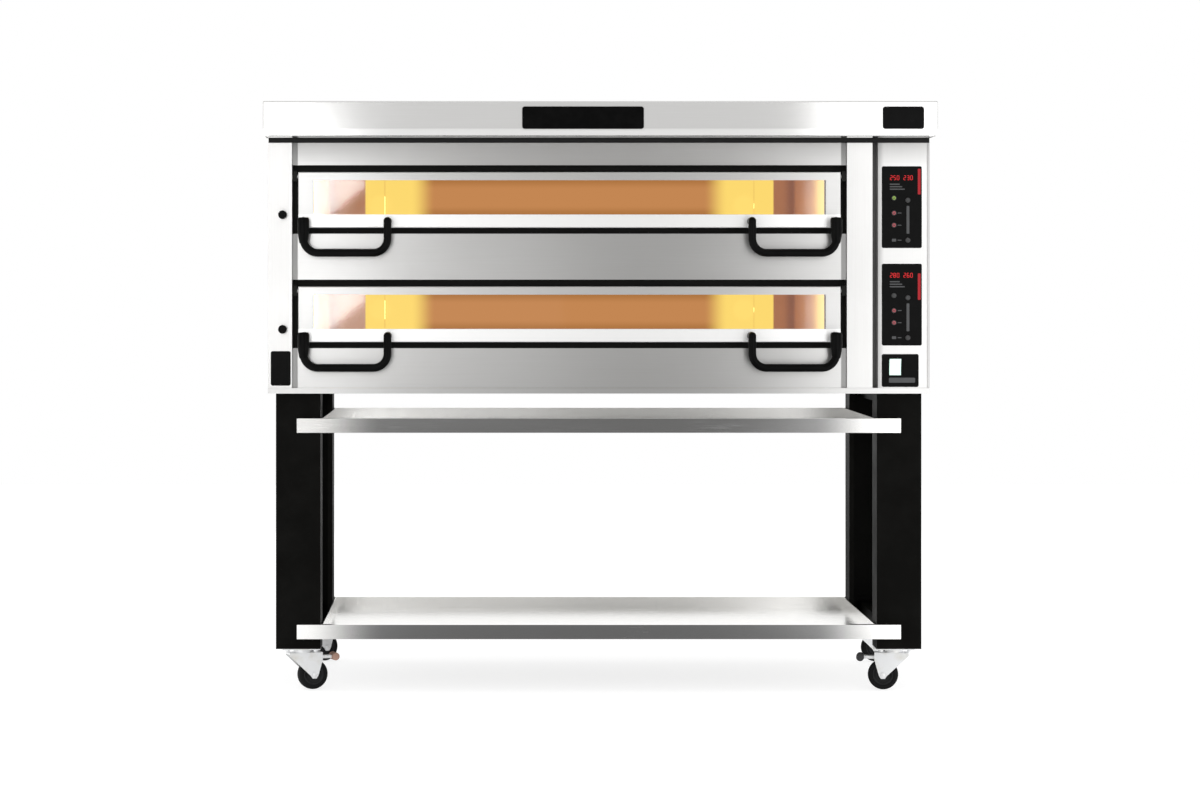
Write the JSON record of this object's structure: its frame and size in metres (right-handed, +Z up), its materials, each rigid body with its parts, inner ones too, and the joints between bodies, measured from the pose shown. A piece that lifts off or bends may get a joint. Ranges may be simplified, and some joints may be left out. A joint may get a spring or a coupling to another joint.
{
  "type": "electric deck pizza oven",
  "caption": "Floor-standing electric deck oven with glazed top-hung doors, bail handles, slim hood, control column and a castered black stand with tray shelves.",
  "frame": {"origin": "on the floor under the middle of the hood", "axes": "+X to the operator's right along the doors, -Y towards the operator, +Z up"},
  "size_m": [1.87, 1.075, 1.695],
  "materials": {
    "satin_steel": "satin",
    "door_steel": "satin",
    "liner_steel": "satin",
    "black_frame": "matte",
    "black_coat": "satin",
    "black_handle": "satin",
    "black_plastic": "gloss",
    "grey_plastic": "matte",
    "oven_glass": "gloss",
    "hearth_stone": "matte",
    "element_metal": "matte",
    "lamp_glass": "gloss",
    "mineral_wool": "matte",
    "zinc_plate": "satin",
    "wheel_tyre": "matte",
    "switch_green": "gloss"
  },
  "bodies": {
    "root": {"badge_plates": "black_plastic", "base_pan": "satin_steel", "cable_gland": "black_plastic", "caster_plates": "zinc_plate", "chamber_lamps": "lamp_glass", "chamber_liners": "liner_steel", "control_column": "satin_steel", "control_panels": "black_plastic", "electrics": "grey_plastic", "flue_collar": "satin_steel", "front_frame": "black_frame", "front_panels": "satin_steel", "front_post_left": "satin_steel", "front_post_right": "satin_steel", "hearth_stones": "hearth_stone", "heating_elements": "element_metal", "hinge_brackets": "black_frame", "hood_shell": "satin_steel", "hood_soffit": "satin_steel", "insulation": "mineral_wool", "rear_casing": "satin_steel", "shelf_lower": "satin_steel", "shelf_upper": "satin_steel", "side_casing_left": "satin_steel", "side_casing_right": "satin_steel", "stand_bolts": "zinc_plate", "stand_side_left": "black_coat", "stand_side_right": "black_coat", "switch_plate": "black_plastic", "top_cover": "satin_steel", "vent_duct": "satin_steel"},
    "door_upper": {"door_frame_upper": "door_steel", "door_glass_upper": "oven_glass", "door_handles_upper": "black_handle"},
    "damper_pull_upper": {"damper_upper": "black_handle"},
    "push_upper_power": {"key_upper_power": "grey_plastic"},
    "push_upper_top_heat": {"key_upper_top_heat": "grey_plastic"},
    "push_upper_floor_heat": {"key_upper_floor_heat": "grey_plastic"},
    "push_upper_raise": {"key_upper_raise": "grey_plastic"},
    "push_upper_lower": {"key_upper_lower": "grey_plastic"},
    "door_lower": {"door_frame_lower": "door_steel", "door_glass_lower": "oven_glass", "door_handles_lower": "black_handle"},
    "damper_pull_lower": {"damper_lower": "black_handle"},
    "push_lower_power": {"key_lower_power": "grey_plastic"},
    "push_lower_top_heat": {"key_lower_top_heat": "grey_plastic"},
    "push_lower_floor_heat": {"key_lower_floor_heat": "grey_plastic"},
    "push_lower_raise": {"key_lower_raise": "grey_plastic"},
    "push_lower_lower": {"key_lower_lower": "grey_plastic"},
    "main_switch": {"rocker_switch": "switch_green"},
    "swivel_front_left": {"caster_fork_front_left": "zinc_plate"},
    "roller_front_left": {"caster_wheel_front_left": "wheel_tyre"},
    "swivel_front_right": {"caster_fork_front_right": "zinc_plate"},
    "roller_front_right": {"caster_wheel_front_right": "wheel_tyre"},
    "swivel_rear_left": {"caster_fork_rear_left": "zinc_plate"},
    "roller_rear_left": {"caster_wheel_rear_left": "wheel_tyre"},
    "swivel_rear_right": {"caster_fork_rear_right": "zinc_plate"},
    "roller_rear_right": {"caster_wheel_rear_right": "wheel_tyre"},
    "brake_left": {"brake_pedal_left": "zinc_plate"},
    "brake_right": {"brake_pedal_right": "zinc_plate"}
  },
  "joints": [
    {"name": "door_upper_hinge", "type": "hinge", "parent": "root", "child": "door_upper", "pos_m": [-0.0825, -0.4025, 1.4465], "axis": [-1, 0, 0], "range_deg": [0, 85]},
    {"name": "damper_upper_slide", "type": "slide", "parent": "root", "child": "damper_pull_upper", "axis": [0, -1, 0], "range_m": [0, 0.06]},
    {"name": "door_lower_hinge", "type": "hinge", "parent": "root", "child": "door_lower", "pos_m": [-0.0825, -0.4025, 1.126], "axis": [-1, 0, 0], "range_deg": [0, 85]},
    {"name": "damper_lower_slide", "type": "slide", "parent": "root", "child": "damper_pull_lower", "axis": [0, -1, 0], "range_m": [0, 0.06]},
    {"name": "main_switch_rock", "type": "hinge", "parent": "root", "child": "main_switch", "pos_m": [0.829, -0.4225, 0.9135], "axis": [-1, 0, 0], "range_deg": [0, 16]},
    {"name": "key_upper_power_press", "type": "slide", "parent": "root", "child": "push_upper_power", "axis": [0, 1, 0], "range_m": [0, 0.0015], "stiffness_N_per_m": 600},
    {"name": "key_upper_top_heat_press", "type": "slide", "parent": "root", "child": "push_upper_top_heat", "axis": [0, 1, 0], "range_m": [0, 0.0015], "stiffness_N_per_m": 600},
    {"name": "key_upper_floor_heat_press", "type": "slide", "parent": "root", "child": "push_upper_floor_heat", "axis": [0, 1, 0], "range_m": [0, 0.0015], "stiffness_N_per_m": 600},
    {"name": "key_upper_raise_press", "type": "slide", "parent": "root", "child": "push_upper_raise", "axis": [0, 1, 0], "range_m": [0, 0.0015], "stiffness_N_per_m": 600},
    {"name": "key_upper_lower_press", "type": "slide", "parent": "root", "child": "push_upper_lower", "axis": [0, 1, 0], "range_m": [0, 0.0015], "stiffness_N_per_m": 600},
    {"name": "key_lower_power_press", "type": "slide", "parent": "root", "child": "push_lower_power", "axis": [0, 1, 0], "range_m": [0, 0.0015], "stiffness_N_per_m": 600},
    {"name": "key_lower_top_heat_press", "type": "slide", "parent": "root", "child": "push_lower_top_heat", "axis": [0, 1, 0], "range_m": [0, 0.0015], "stiffness_N_per_m": 600},
    {"name": "key_lower_floor_heat_press", "type": "slide", "parent": "root", "child": "push_lower_floor_heat", "axis": [0, 1, 0], "range_m": [0, 0.0015], "stiffness_N_per_m": 600},
    {"name": "key_lower_raise_press", "type": "slide", "parent": "root", "child": "push_lower_raise", "axis": [0, 1, 0], "range_m": [0, 0.0015], "stiffness_N_per_m": 600},
    {"name": "key_lower_lower_press", "type": "slide", "parent": "root", "child": "push_lower_lower", "axis": [0, 1, 0], "range_m": [0, 0.0015], "stiffness_N_per_m": 600},
    {"name": "swivel_front_left_turn", "type": "hinge", "parent": "root", "child": "swivel_front_left", "pos_m": [-0.835, -0.3505, 0.1], "axis": [0, 0, 1], "continuous": true},
    {"name": "roller_front_left_spin", "type": "hinge", "parent": "swivel_front_left", "child": "roller_front_left", "pos_m": [-0.80681, -0.34024, 0.043], "axis": [-0.342, 0.9397, 0], "continuous": true},
    {"name": "brake_left_press", "type": "hinge", "parent": "swivel_front_left", "child": "brake_left", "pos_m": [-0.79177, -0.33477, 0.091], "axis": [-0.342, 0.9397, 0], "range_deg": [0, 12]},
    {"name": "swivel_front_right_turn", "type": "hinge", "parent": "root", "child": "swivel_front_right", "pos_m": [0.835, -0.3505, 0.1], "axis": [0, 0, 1], "continuous": true},
    {"name": "roller_front_right_spin", "type": "hinge", "parent": "swivel_front_right", "child": "roller_front_right", "pos_m": [0.80529, -0.34632, 0.043], "axis": [-0.1392, -0.9903, 0], "continuous": true},
    {"name": "brake_right_press", "type": "hinge", "parent": "swivel_front_right", "child": "brake_right", "pos_m": [0.78945, -0.3441, 0.091], "axis": [-0.1392, -0.9903, 0], "range_deg": [0, 12]},
    {"name": "swivel_rear_left_turn", "type": "hinge", "parent": "root", "child": "swivel_rear_left", "pos_m": [-0.835, 0.295, 0.1], "axis": [0, 0, 1], "continuous": true},
    {"name": "roller_rear_left_spin", "type": "hinge", "parent": "swivel_rear_left", "child": "roller_rear_left", "pos_m": [-0.81042, 0.31221, 0.043], "axis": [-0.5736, 0.8192, 0], "continuous": true},
    {"name": "swivel_rear_right_turn", "type": "hinge", "parent": "root", "child": "swivel_rear_right", "pos_m": [0.835, 0.295, 0.1], "axis": [0, 0, 1], "continuous": true},
    {"name": "roller_rear_right_spin", "type": "hinge", "parent": "swivel_rear_right", "child": "roller_rear_right", "pos_m": [0.865, 0.295, 0.043], "axis": [0, 1, 0], "continuous": true}
  ]
}
